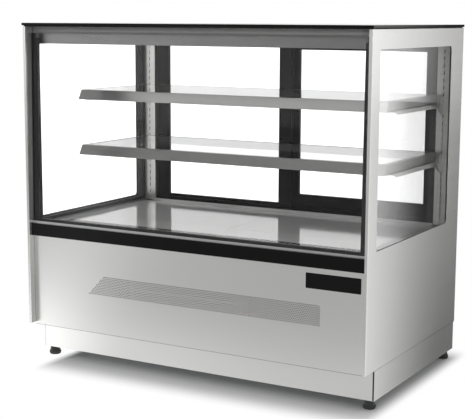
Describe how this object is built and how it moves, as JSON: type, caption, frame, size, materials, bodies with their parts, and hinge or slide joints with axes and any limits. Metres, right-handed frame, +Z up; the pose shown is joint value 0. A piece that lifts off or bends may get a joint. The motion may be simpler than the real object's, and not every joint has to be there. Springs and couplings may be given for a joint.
{
  "type": "refrigerated display case",
  "caption": "Floor-standing refrigerated display case with leaning glazed front, glazed sides, black glass top, glass shelves, sliding rear doors and a louvred cooling base.",
  "frame": {"origin": "centre of the outline seen from above, on the floor under the feet", "axes": "+X to the right for a customer who faces the glass front, +Y from the glass front to the sliding doors at the back, +Z up"},
  "size_m": [1.2, 0.73, 1.092],
  "materials": {
    "stainless": "brushed along its length",
    "galvanised": "satin grey zinc",
    "steel_dark": "satin black paint",
    "header_grey": "fine brushed",
    "black_glass": "back-painted polished glass",
    "clear_glass": "polished clear glass",
    "rubber": "matte black rubber and sealant",
    "spacer": "mill finish",
    "door_metal": "black anodised",
    "foam": "cut rigid foam",
    "diffuser": "milky satin",
    "black_plate": "polished black acrylic",
    "black_plastic": "moulded satin",
    "copper": "drawn copper tube",
    "fin_aluminium": "mill finish fins"
  },
  "bodies": {
    "cabinet": {"top_glass": "black_glass", "top_tape": "rubber", "side_panel_right": "stainless", "side_panel_left": "stainless", "side_gaskets": "rubber", "side_panes_right": "clear_glass", "side_panes_left": "clear_glass", "glazing_spacers": "spacer", "glazing_sealant": "rubber", "front_panes": "clear_glass", "front_channel": "spacer", "front_bar": "steel_dark", "front_panel": "stainless", "blank_plate": "black_plate", "header": "header_grey", "light_batten": "diffuser", "upper_frame": "stainless", "track_top": "door_metal", "track_bottom": "door_metal", "uprights": "stainless", "shelf_frame_upper": "stainless", "shelf_frame_lower": "stainless", "shelf_glass_upper": "clear_glass", "shelf_glass_lower": "clear_glass", "shelf_brackets": "stainless", "deck_front": "stainless", "deck_trays": "stainless", "tub_liner": "stainless", "tub_foam": "foam", "evap_coil": "fin_aluminium", "fan_plate": "stainless", "carcass": "galvanised", "base_frame": "steel_dark", "plinth_front": "stainless", "plinth_sides": "stainless", "rear_panel": "stainless", "panel_screws": "stainless", "control_panel": "black_plastic", "cable_gland": "black_plastic", "condenser": "fin_aluminium", "fan_shroud": "steel_dark", "compressor": "steel_dark", "pipework": "copper", "drip_tray": "black_plastic"},
    "door_left": {"door_frame_left": "door_metal", "door_panes_left": "clear_glass"},
    "door_right": {"door_frame_right": "door_metal", "door_panes_right": "clear_glass"},
    "evap_fan_left": {"evap_rotor_left": "black_plastic"},
    "evap_fan_right": {"evap_rotor_right": "black_plastic"},
    "cond_fan": {"cond_rotor": "black_plastic"},
    "rocker_power": {"rocker_power": "black_plastic"},
    "rocker_light": {"rocker_light": "black_plastic"},
    "button_1": {"button_1": "black_plastic"},
    "button_2": {"button_2": "black_plastic"},
    "button_3": {"button_3": "black_plastic"},
    "foot_front_left": {"foot_front_left": "black_plastic"},
    "foot_front_right": {"foot_front_right": "black_plastic"},
    "foot_rear_left": {"foot_rear_left": "black_plastic"},
    "foot_rear_right": {"foot_rear_right": "black_plastic"}
  },
  "joints": [
    {"name": "door_left_slide", "type": "slide", "parent": "cabinet", "child": "door_left", "axis": [1, 0, 0], "range_m": [0, 0.49]},
    {"name": "door_right_slide", "type": "slide", "parent": "cabinet", "child": "door_right", "axis": [1, 0, 0], "range_m": [-0.49, 0]},
    {"name": "evap_fan_left_spin", "type": "hinge", "parent": "cabinet", "child": "evap_fan_left", "pos_m": [-0.22, -0.145, 0.403], "axis": [0, 0, 1], "continuous": true},
    {"name": "evap_fan_right_spin", "type": "hinge", "parent": "cabinet", "child": "evap_fan_right", "pos_m": [0.22, -0.145, 0.403], "axis": [0, 0, 1], "continuous": true},
    {"name": "cond_fan_spin", "type": "hinge", "parent": "cabinet", "child": "cond_fan", "pos_m": [-0.02, -0.258, 0.229], "axis": [0, 1, 0], "continuous": true},
    {"name": "rocker_power_tilt", "type": "hinge", "parent": "cabinet", "child": "rocker_power", "pos_m": [0.334, 0.3522, 0.408], "axis": [1, 0, 0], "range_deg": [-16, 0]},
    {"name": "rocker_light_tilt", "type": "hinge", "parent": "cabinet", "child": "rocker_light", "pos_m": [0.3628, 0.3522, 0.408], "axis": [1, 0, 0], "range_deg": [-16, 0]},
    {"name": "button_1_press", "type": "slide", "parent": "cabinet", "child": "button_1", "axis": [0, -1, 0], "range_m": [0, 0.001], "stiffness_N_per_m": 300},
    {"name": "button_2_press", "type": "slide", "parent": "cabinet", "child": "button_2", "axis": [0, -1, 0], "range_m": [0, 0.001], "stiffness_N_per_m": 300},
    {"name": "button_3_press", "type": "slide", "parent": "cabinet", "child": "button_3", "axis": [0, -1, 0], "range_m": [0, 0.001], "stiffness_N_per_m": 300},
    {"name": "foot_front_left_turn", "type": "hinge", "parent": "cabinet", "child": "foot_front_left", "pos_m": [-0.569, -0.264, 0], "axis": [0, 0, 1], "continuous": true},
    {"name": "foot_front_right_turn", "type": "hinge", "parent": "cabinet", "child": "foot_front_right", "pos_m": [0.569, -0.264, 0], "axis": [0, 0, 1], "continuous": true},
    {"name": "foot_rear_left_turn", "type": "hinge", "parent": "cabinet", "child": "foot_rear_left", "pos_m": [-0.569, 0.34, 0], "axis": [0, 0, 1], "continuous": true},
    {"name": "foot_rear_right_turn", "type": "hinge", "parent": "cabinet", "child": "foot_rear_right", "pos_m": [0.569, 0.34, 0], "axis": [0, 0, 1], "continuous": true}
  ]
}
